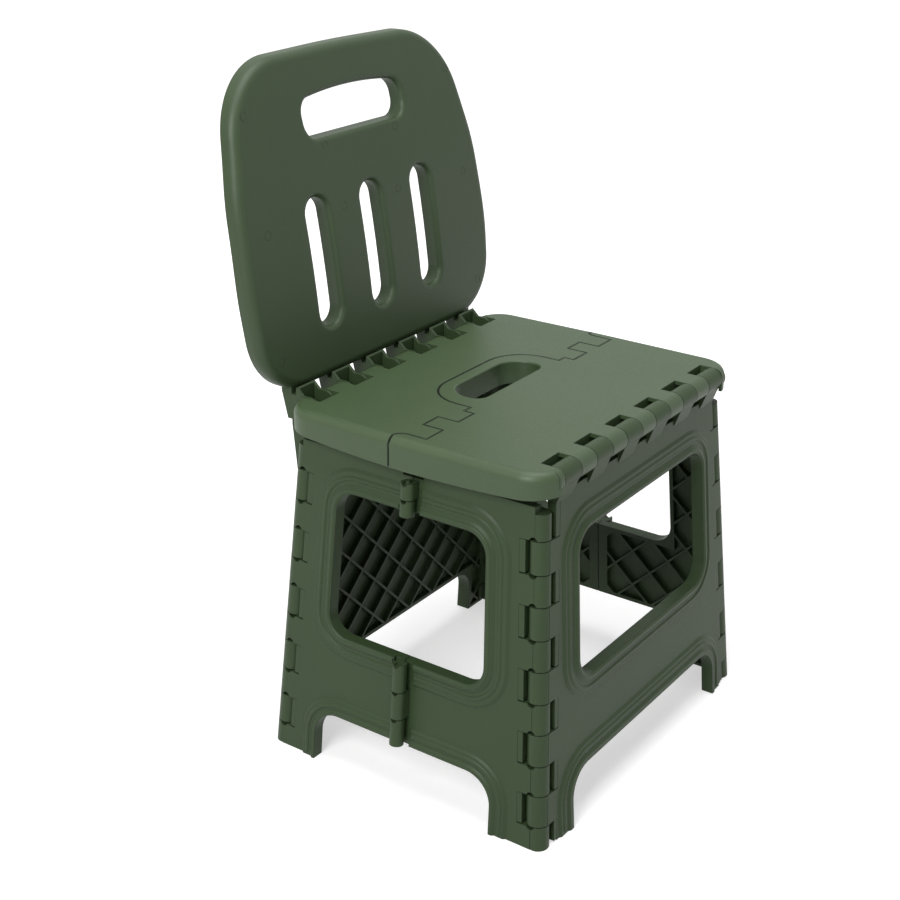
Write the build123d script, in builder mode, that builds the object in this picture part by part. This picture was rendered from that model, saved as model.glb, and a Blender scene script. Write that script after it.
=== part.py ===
from build123d import *
import math
import os

# Folding step stool with a backrest: nine snap-together mouldings on hinge studs.
# Millimetres, +Z up, the front panel faces -Y, origin on the floor under the middle of the seat.

# Overall sizes
seat_height = 320.0
seat_half_width = 157.0
seat_end_half_width = 155.0
seat_corner_radius = 28.0
base_half_width = 170.5
base_half_depth = 142.5
apex_height = 2000.0  # the leaning faces and the hinge lines of the legs all meet at this height
hinge_half_depth = 120.3  # seat hinge lines at the front and rear, from the middle

# Walls and clearances
panel_wall = 8.0
panel_skin = 3.0
seat_plate = 3.5
skirt_wall = 3.0
rib = 2.4
rib_pitch = 27.0
rib_edge = 4.0
smallest_pocket = 40.0  # square millimetres, smaller lattice pockets stay filled
finger_gap = 0.6
running_gap = 0.08
open_corner_gap = 0.7  # play where the loop of panels closes
open_seat_gap = 2.9  # play where the seat meets the front panel
seat_gap = 0.1  # between the backrest and the arms that carry it
socket_end = 0.5
overlap = 1.0  # how far an added feature is sunk into the wall that carries it

# Corner hinges between the side halves and the front and rear panels
side_top = seat_height - 28.0
side_notch = 6.0  # the sides dip under the knuckles of the seat fold, and at the corner barrels
corner_depth = 9.6
corner_radius = corner_depth - 0.2
corner_x = base_half_width - corner_depth
corner_y = base_half_depth - corner_depth
finger_count = 5
finger_pitch = 0.169 * seat_height
finger_length = finger_pitch / 2
finger_start = 0.38 * finger_pitch
slot_reach = corner_radius + 4.6
slot_floor = 1.6  # wall left behind the slots beside the barrels
slot_box = 30.0
snap_radius = 3.4  # half-round notches at the ends of the barrels, where the studs snap in
stud_radius = 3.0
stud_length = 4.0

# Hinges in the middle of each side, standing outside the face
mid_offset = 7.9
mid_radius = 6.1
mid_seam = 0.3
mid_low = 52.0
mid_length = 24.5
mid_high = seat_height - 63.0
mid_high_length = 14.0
mid_stud_radius = 2.2
mid_snap_radius = 2.6
bead_stop = mid_radius + 3.2

# Openings in the side panels
side_window_low = 127.0
side_window_high = seat_height - 62.0
side_window_half_low = 79.5
side_window_half_high = 73.5
side_window_radius = 19.0
side_bead = 23.0
side_arch_half = 91.5
side_bead_foot = 17.0

# Openings in the front panel, whose arch the rear panel shares
front_top = seat_height - 24.0
front_window_low = 128.0
front_window_high = seat_height - 64.0
front_window_half_low = 108.0
front_window_half_high = 102.8
front_window_radius = 20.0
front_bead = 22.0
front_arch_half = 124.0
front_bead_foot = 20.0
arch_height = 50.0
arch_radius = 25.0
arch_flare = 2.0
bead_height = 3.2
bead_step = 1.6
bead_share = 0.52
bead_taper = 55.0

# Seat hinge rows: six fingers at the front and six arms at the rear
barrel_radius = 9.5
hinge_z = seat_height - barrel_radius
hinge_count = 6
hinge_pitch = 47.0
hinge_finger = 24.0
hinge_places = [(i - (hinge_count - 1) / 2) * hinge_pitch for i in range(hinge_count)]
row_half = hinge_places[-1] + hinge_finger / 2
notch_back = 12.6
seat_stud_radius = 2.6
seat_stud_length = 4.0
cap_length = 6.5

# Seat halves
skirt_depth = 26.0
skirt_bottom = seat_height - skirt_depth
skirt_bow = 6.0
rim_radius = 8.0
fold_seam = 0.3
fold_z = skirt_bottom - 0.5
rib_drop = 10.5
fold_finger = 21.3
fold_start = 78.0
fold_reach = 9.5
fold_radius = 5.0
fold_stud_radius = 2.2
lobe_reach = 17.0
lobe_radius = 9.0

# Handle moulded on the front half, let into the rear half
handle_half = 68.5
handle_reach = 50.0
handle_radius = 36.0
handle_depth = 21.0
hand_half = 50.0
hand_near = 2.4
hand_far = 38.0
hand_radius = 22.0
hand_lip = 1.6

# Rear panel
rear_extra = 6.0
rear_top = seat_height - 22.0
knee_low = seat_height - 135.0
knee_back = 144.0
knee_half = row_half - 5.0
arm_wall = 3.0
arm_floor = seat_height - 16.0
arm_nose = barrel_radius - 0.2
arm_channel_back = 132.5
arm_fin_start = 126.0
arm_fin_rise = 6.5
arm_depth = 11.0
arm_top = seat_height + 42.0

# Backrest
back_foot = seat_height + 1.0
back_height = 267.5
back_depth = 15.0
back_skin = 3.5
back_y = 135.0  # front face at the foot
back_lean = 0.06
back_curve = 0.00044
back_edge_radius = 8.5
# Corners of the backrest's outline: half width, height above the foot, rounding
back_outline = [
    (162.0, 0.0, 55.0), (168.0, 85.0, 260.0), (163.5, 160.0, 200.0), (139.5, 265.0, 72.0),
]
back_crown_radius = 1800.0
slot_count = 3
slot_pitch = 71.8
slot_width = 28.0
slot_low = 43.0
slot_high = 151.0
slot_lip = 4.5
grip_half = 66.5
grip_low = 196.0
grip_high = 227.0
grip_crown = 5.0
grip_radius = 14.0

far = 260.0  # comfortably past any face, for cuts that go right through


def at_height(floor_value, z):
    """A length measured at the floor, as it is at height z on the way to the apex."""
    return floor_value * (1 - z / apex_height)


def hinge_frame(x, y):
    """A frame on the hinge line from the floor point (x, y) to the apex, its x axis along -X."""
    return Plane(origin=(x, y, 0), x_dir=(-1, 0, 0), z_dir=(-x, -y, apex_height))


side_lean = math.atan2(base_half_width, apex_height)
front_lean = math.atan2(base_half_depth, apex_height)
left_face = Plane(
    origin=(-base_half_width, 0, 0),
    x_dir=(0, -1, 0),
    z_dir=(-math.cos(side_lean), 0, math.sin(side_lean)),
)
front_face = Plane(
    origin=(0, -base_half_depth, 0),
    x_dir=(1, 0, 0),
    z_dir=(0, -math.cos(front_lean), math.sin(front_lean)),
)
rear_face = Plane(
    origin=(0, base_half_depth, 0),
    x_dir=(-1, 0, 0),
    z_dir=(0, math.cos(front_lean), math.sin(front_lean)),
)
fingers = [finger_start + i * finger_pitch for i in range(finger_count)]
barrel_room = corner_radius + finger_gap
slot_depth = corner_depth - panel_wall + slot_floor  # from the hinge line out to the floor of a slot
corner_length = side_top - side_notch + overlap


def window(plane, half_low, half_high, low, high, radius, grow):
    """A rounded opening, wider at its foot, grown by the same amount all round."""
    slope = (half_low - half_high) / (high - low)
    wide = half_low + grow + slope * grow
    narrow = half_high + grow - slope * grow
    with BuildSketch(plane) as shape:
        Polygon(
            (-wide, low - grow), (wide, low - grow), (narrow, high + grow), (-narrow, high + grow),
            align=None,
        )
        fillet(shape.vertices(), radius + grow)
    return shape.sketch


def arch(plane, half, grow):
    """A leg arch that runs out through the floor, rounded at its two upper corners."""
    wide = half + grow + arch_flare
    narrow = half + grow
    top = arch_height + grow
    with BuildSketch(plane) as shape:
        Polygon((-wide, -top), (wide, -top), (narrow, top), (-narrow, top), align=None)
        fillet(shape.vertices().sort_by(Axis.Y)[2:], arch_radius + grow)
    return shape.sketch


def lattice(plane, outline, openings, pitch):
    """The pockets between crossed ribs, inside an outline and clear of the openings."""
    reach = 2 * far
    steps = range(-int(far / pitch), int(far / pitch) + 1)
    middle = sum(point[1] for point in outline) / len(outline)
    with BuildSketch(plane) as pockets:
        Polygon(*outline, align=None)
        for opening in openings:
            Polygon(*opening, align=None, mode=Mode.SUBTRACT)
        with Locations(*[(pitch * math.sqrt(2) * step, middle) for step in steps]):
            Rectangle(rib, reach, rotation=45, mode=Mode.SUBTRACT)
            Rectangle(rib, reach, rotation=-45, mode=Mode.SUBTRACT)
    return [face for face in pockets.sketch.faces() if face.area > smallest_pocket]


def side_beads(end):
    """Stepped mouldings round the window and the arch of the left side, for one half."""
    base = left_face.offset(-overlap)
    with BuildPart() as beads:
        for share, height in ((1, bead_step), (bead_share, bead_height)):
            ring = window(
                base, side_window_half_low, side_window_half_high, side_window_low,
                side_window_high, side_window_radius, side_bead * share,
            )
            extrude(ring, amount=height + overlap, taper=bead_taper)
            foot = arch(base, side_arch_half, side_bead_foot * share)
            extrude(foot, amount=height + overlap, taper=bead_taper)
        with BuildSketch(base):
            with Locations((end * (bead_stop + far / 2), side_top / 2)):
                Rectangle(far, 2 * side_top)
        extrude(amount=far, both=True, mode=Mode.INTERSECT)
    return beads.part


def side_half(end):
    """One half of the left side: end is 1 at the front and -1 at the rear."""
    beads = side_beads(end)
    foot_edge = corner_y * 1.01
    top_edge = at_height(corner_y, side_top)
    inset_low = foot_edge - slot_reach - rib_edge
    inset_high = top_edge - slot_reach - rib_edge
    window_wide = side_window_half_low + rib_edge
    window_narrow = side_window_half_high + rib_edge
    pockets = lattice(
        left_face.offset(-panel_wall),
        [(end * (mid_radius + rib_edge), rib_edge), (end * inset_low, rib_edge),
         (end * inset_high, side_top - rib_edge), (end * (mid_radius + rib_edge), side_top - rib_edge)],
        [[(-window_wide, side_window_low - rib_edge), (window_wide, side_window_low - rib_edge),
          (window_narrow, side_window_high + rib_edge), (-window_narrow, side_window_high + rib_edge)],
         [(-side_arch_half - rib_edge, -far), (side_arch_half + rib_edge, -far),
          (side_arch_half + rib_edge, arch_height + rib_edge),
          (-side_arch_half - rib_edge, arch_height + rib_edge)]],
        rib_pitch,
    )
    corner = hinge_frame(-corner_x, -end * corner_y)
    middle = hinge_frame(-base_half_width - mid_offset, 0)
    whole = math.hypot(corner_x, corner_y, apex_height)
    own_low = [1] if end > 0 else [0, 2]
    own_high = [1] if end > 0 else [0]
    low_starts = [mid_low + i * (mid_length + finger_gap) for i in range(3)]
    high_starts = [mid_high + i * (mid_high_length + finger_gap) for i in range(2)]
    own = [(low_starts[i], mid_length) for i in own_low]
    own += [(high_starts[i], mid_high_length) for i in own_high]
    inner_barrels = [(low_starts[1], mid_length), (high_starts[1], mid_high_length)]

    with BuildPart() as half:
        # The leaning plate, its mouldings and the corner barrel
        with BuildSketch(left_face):
            Polygon(
                (end * mid_seam, -arch_height), (end * foot_edge, -arch_height),
                (end * top_edge, side_top), (end * mid_seam, side_top), align=None,
            )
        extrude(amount=-panel_wall)
        add(beads)
        with Locations(corner):
            with Locations((0, 0, -overlap)):
                Cone(
                    corner_radius, corner_radius * (1 - corner_length / whole),
                    corner_length, align=(Align.CENTER, Align.CENTER, Align.MIN),
                )
        # Window and arch
        hole = window(
            left_face, side_window_half_low, side_window_half_high, side_window_low,
            side_window_high, side_window_radius, 0,
        )
        extrude(hole, amount=slot_box, both=True, mode=Mode.SUBTRACT)
        foot = arch(left_face, side_arch_half, 0)
        extrude(foot, amount=slot_box, both=True, mode=Mode.SUBTRACT)
        # Room for the fingers of the neighbouring panel, a slot beside it, and sockets for its studs
        with Locations(corner):
            room_y = end * (slot_box - barrel_room) / 2
            with Locations(*[(0, room_y, start + finger_length / 2) for start in fingers]):
                Box(
                    2 * slot_box, slot_box + barrel_room, finger_length + 2 * finger_gap,
                    mode=Mode.SUBTRACT,
                )
            slot_x = slot_depth + slot_box / 2
            slot_middle = -end * slot_reach / 2
            with Locations(*[(slot_x, slot_middle, start + finger_length / 2) for start in fingers]):
                Box(slot_box, slot_reach, finger_length + 2 * finger_gap, mode=Mode.SUBTRACT)
            with Locations(*[(0, 0, start + finger_length / 2) for start in fingers]):
                Cylinder(
                    stud_radius + running_gap,
                    finger_length + 2 * (stud_length + socket_end), mode=Mode.SUBTRACT,
                )
            finger_ends = [start + share * finger_length for start in fingers for share in (0, 1)]
            snap_y = -end * snap_radius / 2
            with Locations(*[Location((slot_box / 2, snap_y, z), (0, 90, 0)) for z in finger_ends]):
                Cylinder(snap_radius, slot_box, mode=Mode.SUBTRACT)
        # Barrels of the hinge in the middle of the side
        with Locations(middle):
            for start, length in own:
                with Locations((0, 0, start + length / 2)):
                    Cylinder(mid_radius, length)
                with Locations((
                    -(mid_offset + overlap) / 2, end * (mid_radius + mid_seam) / 2, start + length / 2,
                )):
                    Box(mid_offset + overlap, mid_radius - mid_seam, length)
            barrel_ends = [start + length for start, length in own]
            with Locations(*[Location((slot_box / 2, 0, z), (0, 90, 0)) for z in barrel_ends]):
                Cylinder(mid_snap_radius, slot_box, mode=Mode.SUBTRACT)
            for start, length in inner_barrels:
                with Locations((0, 0, start + length / 2)):
                    if end > 0:
                        Cylinder(mid_stud_radius, length + 2 * stud_length)
                    else:
                        Cylinder(
                            mid_stud_radius + running_gap,
                            length + 2 * (stud_length + socket_end), mode=Mode.SUBTRACT,
                        )
        # Feet cut level with the floor, top cut level under the seat
        with Locations((0, 0, -far / 2)):
            Box(4 * far, 4 * far, far, mode=Mode.SUBTRACT)
        with Locations((0, 0, side_top + far / 2)):
            Box(4 * far, 4 * far, far, mode=Mode.SUBTRACT)
        with Locations((-base_half_width, 0, side_top - side_notch + far / 2)):
            Box(far, 4 * fold_radius, far, mode=Mode.SUBTRACT)
        extrude(pockets, amount=panel_wall - panel_skin, mode=Mode.SUBTRACT)
    return half.part


def corner_fingers(end):
    """Barrels and studs on both corner hinge lines of a panel, and the room between them.

    end is -1 at the front and 1 at the rear. Returns what is added and what is cut first.
    """
    taper = 1 - corner_length / math.hypot(corner_x, corner_y, apex_height)
    room = finger_pitch - finger_length
    foot_room = far + finger_start
    top_start = finger_start + (finger_count - 1) * finger_pitch + finger_length
    rooms = [(start + finger_length + room / 2, room) for start in fingers[:-1]]
    rooms += [(finger_start - foot_room / 2, foot_room), (top_start + far / 2, far)]
    with BuildPart() as gaps:
        for side in (-1, 1):
            cut_x = -side * (slot_box - barrel_room) / 2
            slot_x = side * slot_reach / 2
            slot_y = -end * (slot_depth + slot_box / 2)
            with Locations(hinge_frame(side * corner_x, end * corner_y)):
                for middle, length in rooms:
                    with Locations((cut_x, 0, middle)):
                        Box(slot_box + barrel_room, 2 * slot_box, length)
                    with Locations((slot_x, slot_y, middle)):
                        Box(slot_reach, slot_box, length)
    with BuildPart() as barrels:
        for side in (-1, 1):
            with Locations(hinge_frame(side * corner_x, end * corner_y)):
                with Locations((0, 0, -overlap)):
                    Cone(
                        corner_radius, corner_radius * taper, corner_length,
                        align=(Align.CENTER, Align.CENTER, Align.MIN),
                    )
        add(gaps.part, mode=Mode.SUBTRACT)
        for side in (-1, 1):
            with Locations(hinge_frame(side * corner_x, end * corner_y)):
                with Locations(*[(0, 0, start + finger_length / 2) for start in fingers]):
                    Cylinder(stud_radius, finger_length + 2 * stud_length)
    return barrels.part, gaps.part


def panel_outline(top, edge):
    """Corner points of a front or rear panel, out to its hinge lines less an edge."""
    foot = corner_x * (1 + arch_height / apex_height) - edge
    head = at_height(corner_x, top) - edge
    return [(-foot, -arch_height), (foot, -arch_height), (head, top), (-head, top)]


def seat_pockets():
    """The lattice under a seat half, clear of its hinge row, fold and handle."""
    inner_fold = fold_reach + skirt_wall + rib
    handle_edge = handle_half + rib_edge
    end_edge = hinge_half_depth - notch_back - skirt_wall
    side_edge = seat_end_half_width - rim_radius - skirt_wall
    return lattice(
        Plane.XY.offset(seat_height - seat_plate - rib_drop),
        [(-side_edge, inner_fold), (side_edge, inner_fold), (side_edge, end_edge), (-side_edge, end_edge)],
        [[(-handle_edge, -far), (handle_edge, -far),
          (handle_edge, handle_reach + rib_edge), (-handle_edge, handle_reach + rib_edge)]],
        rib_pitch,
    )


def handle_shape(plane, grow):
    """Plan of the handle, from the front half's side of the fold."""
    with BuildSketch(plane) as shape:
        Polygon(
            (-handle_half - grow, -fold_reach), (handle_half + grow, -fold_reach),
            (handle_half + grow, handle_reach + grow), (-handle_half - grow, handle_reach + grow),
            align=None,
        )
        fillet(shape.vertices().sort_by(Axis.Y)[2:], handle_radius + grow)
    return shape.sketch


def lobe_shape(plane, side, toward, grow, past):
    """Plan of a lobe at one end of the fold: it lies past the fold line and is rounded inside."""
    inner = side * (fold_start + 3 * fold_finger + finger_gap - grow)
    outer = side * (seat_half_width + past)
    reach = toward * (lobe_reach + grow)
    with BuildSketch(plane) as shape:
        Polygon(
            (inner, -toward * fold_seam), (outer, -toward * fold_seam), (outer, reach), (inner, reach),
            align=None,
        )
        corner = shape.vertices().filter_by(
            lambda point: abs(point.X - inner) + abs(point.Y - reach) < overlap
        )
        fillet(corner, lobe_radius + grow)
    return shape.sketch


def lobe_block(side):
    """A lobe of the half with the handle, with the same rounded rim as the seat."""
    with BuildPart() as lobe:
        extrude(lobe_shape(Plane.XY.offset(skirt_bottom), side, -1, 0, 0), amount=skirt_depth)
        top_edges = lobe.faces().sort_by(Axis.Z)[-1].edges()
        fillet(top_edges.sort_by(Axis.X)[-1 if side > 0 else 0], rim_radius)
    return lobe.part


def seat_half(with_handle, socket_gap):
    """A seat half on the +Y side: the one with the handle is mirrored to the front afterwards."""
    pockets = seat_pockets()
    end_y = hinge_half_depth + barrel_radius
    rear_fingers = [(fold_start + 2 * i * fold_finger, fold_reach) for i in range(2)]
    front_fingers = [(fold_start + fold_finger, fold_reach)]
    own = front_fingers if with_handle else rear_fingers
    other = rear_fingers if with_handle else front_fingers
    with BuildPart() as half:
        # Block with a rounded rim, hollowed from below
        with BuildSketch(Plane.XY.offset(skirt_bottom)) as plan:
            Polygon(
                (-seat_half_width, fold_seam), (seat_half_width, fold_seam),
                (seat_end_half_width, end_y), (-seat_end_half_width, end_y), align=None,
            )
            fillet(plan.vertices().sort_by(Axis.Y)[2:], seat_corner_radius)
        extrude(amount=skirt_depth)
        top_edges = half.faces().sort_by(Axis.Z)[-1].edges()
        fillet(top_edges.filter_by(lambda edge: edge.center().Y > 2 * fold_seam), rim_radius)
        if with_handle:
            add(lobe_block(-1))
            add(lobe_block(1))
        with BuildSketch(Plane.XY.offset(skirt_bottom - overlap)) as hollow:
            Polygon(
                (skirt_wall - seat_half_width, fold_seam + skirt_wall),
                (seat_half_width - skirt_wall, fold_seam + skirt_wall),
                (seat_end_half_width - skirt_wall, end_y - skirt_wall),
                (skirt_wall - seat_end_half_width, end_y - skirt_wall), align=None,
            )
            fillet(hollow.vertices().sort_by(Axis.Y)[2:], seat_corner_radius - skirt_wall)
        extrude(amount=skirt_depth - seat_plate - rib_drop + overlap, mode=Mode.SUBTRACT)
        extrude(pockets, amount=rib_drop, mode=Mode.SUBTRACT)
        # Skirt bowed along its lower edge
        with BuildSketch(Plane.YZ) as bow:
            with BuildLine():
                bow_top = ThreePointArc(
                    (-end_y, skirt_bottom + skirt_bow), (0, skirt_bottom), (end_y, skirt_bottom + skirt_bow),
                )
                Polyline(bow_top @ 1, (end_y, skirt_bottom - far), (-end_y, skirt_bottom - far), bow_top @ 0)
            make_face()
        extrude(amount=far, both=True, mode=Mode.SUBTRACT)
        # Hinge row: the block gives way to a plate and a round bar, notched for the six fingers
        with Locations((0, hinge_half_depth - notch_back + far / 2, seat_height)):
            Box(2 * row_half + 2 * finger_gap, far, 2 * skirt_depth + far / 10, mode=Mode.SUBTRACT)
        with Locations((0, hinge_half_depth - (notch_back + overlap) / 2, seat_height - seat_plate / 2)):
            Box(2 * row_half + 2 * finger_gap, notch_back + overlap, seat_plate)
        with Locations(Plane(origin=(0, hinge_half_depth, hinge_z), z_dir=(1, 0, 0))):
            Cylinder(barrel_radius, 2 * (row_half + cap_length))
        for place in hinge_places:
            with Locations((place, hinge_half_depth - notch_back + far / 2, seat_height)):
                Box(hinge_finger + 2 * finger_gap, far, far / 2, mode=Mode.SUBTRACT)
            with Locations(Plane(origin=(place, hinge_half_depth, hinge_z), z_dir=(1, 0, 0))):
                Cylinder(
                    seat_stud_radius + socket_gap,
                    hinge_finger + 2 * (seat_stud_length + socket_end), mode=Mode.SUBTRACT,
                )
        # Fold: own fingers reach over the axis, the other half's fingers get room
        for side in (-1, 1):
            for start, reach in own:
                middle = side * (start + fold_finger / 2)
                width = fold_finger - finger_gap
                with Locations((middle, 0, (fold_z + seat_height) / 2)):
                    Box(width, 2 * reach, seat_height - fold_z)
                with Locations(Plane(origin=(middle, 0, fold_z), z_dir=(1, 0, 0))):
                    Cylinder(fold_radius, width)
                    if with_handle:
                        Cylinder(fold_stud_radius, width + 2 * stud_length)
            for start, reach in other:
                middle = side * (start + fold_finger / 2)
                with Locations((middle, 0, seat_height)):
                    Box(fold_finger + finger_gap, 2 * (reach + finger_gap), far / 2, mode=Mode.SUBTRACT)
            if not with_handle:
                room = lobe_shape(Plane.XY.offset(skirt_bottom), side, 1, finger_gap, overlap)
                extrude(room, amount=far, both=True, mode=Mode.SUBTRACT)
                middle = side * (fold_start + 3 * fold_finger / 2)
                with Locations(Plane(origin=(middle, 0, fold_z), z_dir=(1, 0, 0))):
                    Cylinder(
                        fold_stud_radius + running_gap,
                        fold_finger + 2 * (stud_length + socket_end), mode=Mode.SUBTRACT,
                    )
        # Handle, or the recess it lies in
        if not with_handle:
            recess = handle_shape(Plane.XY.offset(seat_height), finger_gap)
            extrude(recess, amount=far, both=True, mode=Mode.SUBTRACT)
    return half.part


def backrest_slab(front_shift, back_shift):
    """A curved slab following the backrest's front face, between two depths behind it."""
    heights = (-back_edge_radius, back_height / 2, back_height + back_edge_radius)
    front = [(back_y + front_shift + back_lean * h + back_curve * h * h, back_foot + h) for h in heights]
    back = [(y - front_shift + back_shift, z) for y, z in front]
    with BuildPart() as slab:
        with BuildSketch(Plane.YZ.offset(-far)):
            with BuildLine():
                ThreePointArc(*front)
                Line(front[2], back[2])
                ThreePointArc(*reversed(back))
                Line(back[0], front[0])
            make_face()
        extrude(amount=2 * far)
    return slab.part


def back_edge(inset):
    """Outline of the backrest seen from the front, as a solid that runs right through."""
    right = [(half, back_foot + h) for half, h, radius in back_outline]
    left = [(-x, z) for x, z in reversed(right)]
    with BuildPart() as outline:
        with BuildSketch(Plane.XZ.offset(-far)) as shape:
            Polygon(*right, (0, back_foot + back_height), *left, align=None)
            for half, h, radius in back_outline:
                corners = shape.vertices().filter_by(
                    lambda point: abs(abs(point.X) - half) + abs(point.Y - back_foot - h) < overlap
                )
                fillet(corners, radius)
            crown = shape.vertices().filter_by(lambda point: abs(point.X) < overlap)
            fillet(crown, back_crown_radius)
            if inset:
                offset(amount=-inset, mode=Mode.REPLACE)
        extrude(amount=far, both=True)
    return outline.part


def front_of(builder):
    """The backrest's large face that looks to the front."""
    return builder.faces().sort_by(SortBy.AREA)[-2:].sort_by(Axis.Y)[0]


def slot_cutter(grow):
    """The three slots and the hand grip of the backrest, grown all round."""
    with BuildPart() as cutter:
        with BuildSketch(Plane.XZ.offset(-far)):
            places = [((i - (slot_count - 1) / 2) * slot_pitch, back_foot + (slot_low + slot_high) / 2)
                      for i in range(slot_count)]
            with Locations(*places):
                SlotOverall(slot_high - slot_low + 2 * grow, slot_width + 2 * grow, rotation=90)
        extrude(amount=far, both=True)
        with BuildSketch(Plane.XZ.offset(-far)) as grip:
            low = back_foot + grip_low - grow
            high = back_foot + grip_high + grow
            half = grip_half + grow
            with BuildLine():
                crown = ThreePointArc((-half, high), (0, high + grip_crown), (half, high))
                Polyline(crown @ 1, (half, low), (-half, low), crown @ 0)
            make_face()
            fillet(grip.vertices(), grip_radius)
        extrude(amount=far, both=True)
    return cutter.part


def row_planes():
    """The planes where the six hinge fingers of a seat row begin."""
    return [Plane.YZ.offset(place - hinge_finger / 2) for place in hinge_places]


def arm_riser(grow):
    """The upright part of the six arms, which stands inside the backrest."""
    front_low = back_y + back_skin + seat_gap - grow
    rise = arm_top - back_foot
    front_high = front_low + back_lean * rise + back_curve * rise * rise
    width = hinge_finger + 2 * grow
    with BuildPart() as riser:
        with BuildSketch(*[Plane.YZ.offset(place - width / 2) for place in hinge_places]):
            Polygon(
                (front_low, back_foot - 2 * overlap - grow),
                (front_low + arm_depth + 2 * grow, back_foot - 2 * overlap - grow),
                (front_high + arm_depth + 2 * grow, arm_top + grow),
                (front_high, arm_top + grow), align=None,
            )
        extrude(amount=width)
    return riser.part


def arch_corners(half):
    """The square room that the lattice leaves for a leg arch."""
    wide = half + rib_edge
    top = arch_height + rib_edge
    return [(-wide, -far), (wide, -far), (wide, top), (-wide, top)]


# Front panel
front_barrels, front_gaps = corner_fingers(-1)
front_wide = front_window_half_low + rib_edge
front_narrow = front_window_half_high + rib_edge
front_lattice = lattice(
    front_face.offset(-panel_wall),
    [(x, max(z, rib_edge)) for x, z in panel_outline(front_top - 4 * rib_edge, slot_reach + rib_edge)],
    [[(-front_wide, front_window_low - rib_edge), (front_wide, front_window_low - rib_edge),
      (front_narrow, front_window_high + rib_edge), (-front_narrow, front_window_high + rib_edge)],
     arch_corners(front_arch_half)],
    rib_pitch,
)
with BuildPart() as front_panel:
    with BuildSketch(front_face):
        Polygon(*panel_outline(front_top, 0), align=None)
    extrude(amount=-panel_wall)
    for share, height in ((1, bead_step), (bead_share, bead_height)):
        bead_base = front_face.offset(-overlap)
        ring = window(
            bead_base, front_window_half_low, front_window_half_high, front_window_low,
            front_window_high, front_window_radius, front_bead * share,
        )
        extrude(ring, amount=height + overlap, taper=bead_taper)
        foot = arch(bead_base, front_arch_half, front_bead_foot * share)
        extrude(foot, amount=height + overlap, taper=bead_taper)
    front_hole = window(
        front_face, front_window_half_low, front_window_half_high, front_window_low,
        front_window_high, front_window_radius, 0,
    )
    extrude(front_hole, amount=slot_box, both=True, mode=Mode.SUBTRACT)
    front_foot = arch(front_face, front_arch_half, 0)
    extrude(front_foot, amount=slot_box, both=True, mode=Mode.SUBTRACT)
    add(front_gaps, mode=Mode.SUBTRACT)
    add(front_barrels)
    # Six hinge fingers under the seat's front edge
    neck_low = front_top - 0.8 * panel_wall
    face_y = -at_height(base_half_depth, neck_low)
    with BuildSketch(*row_planes()):
        Polygon(
            (-hinge_half_depth - 0.75 * barrel_radius, hinge_z - 0.65 * barrel_radius),
            (face_y, neck_low), (face_y + panel_wall - overlap / 2, neck_low),
            (-hinge_half_depth + barrel_radius - overlap / 2, hinge_z - overlap), align=None,
        )
        with Locations((-hinge_half_depth, hinge_z)):
            Circle(barrel_radius)
    extrude(amount=hinge_finger)
    with Locations(*[Plane(origin=(place, -hinge_half_depth, hinge_z), z_dir=(1, 0, 0))
                     for place in hinge_places]):
        Cylinder(seat_stud_radius, hinge_finger + 2 * seat_stud_length)
    with Locations((0, 0, -far / 2)):
        Box(4 * far, 4 * far, far, mode=Mode.SUBTRACT)
    extrude(front_lattice, amount=panel_wall - panel_skin, mode=Mode.SUBTRACT)
front_panel.part.label = "front_panel"

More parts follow.
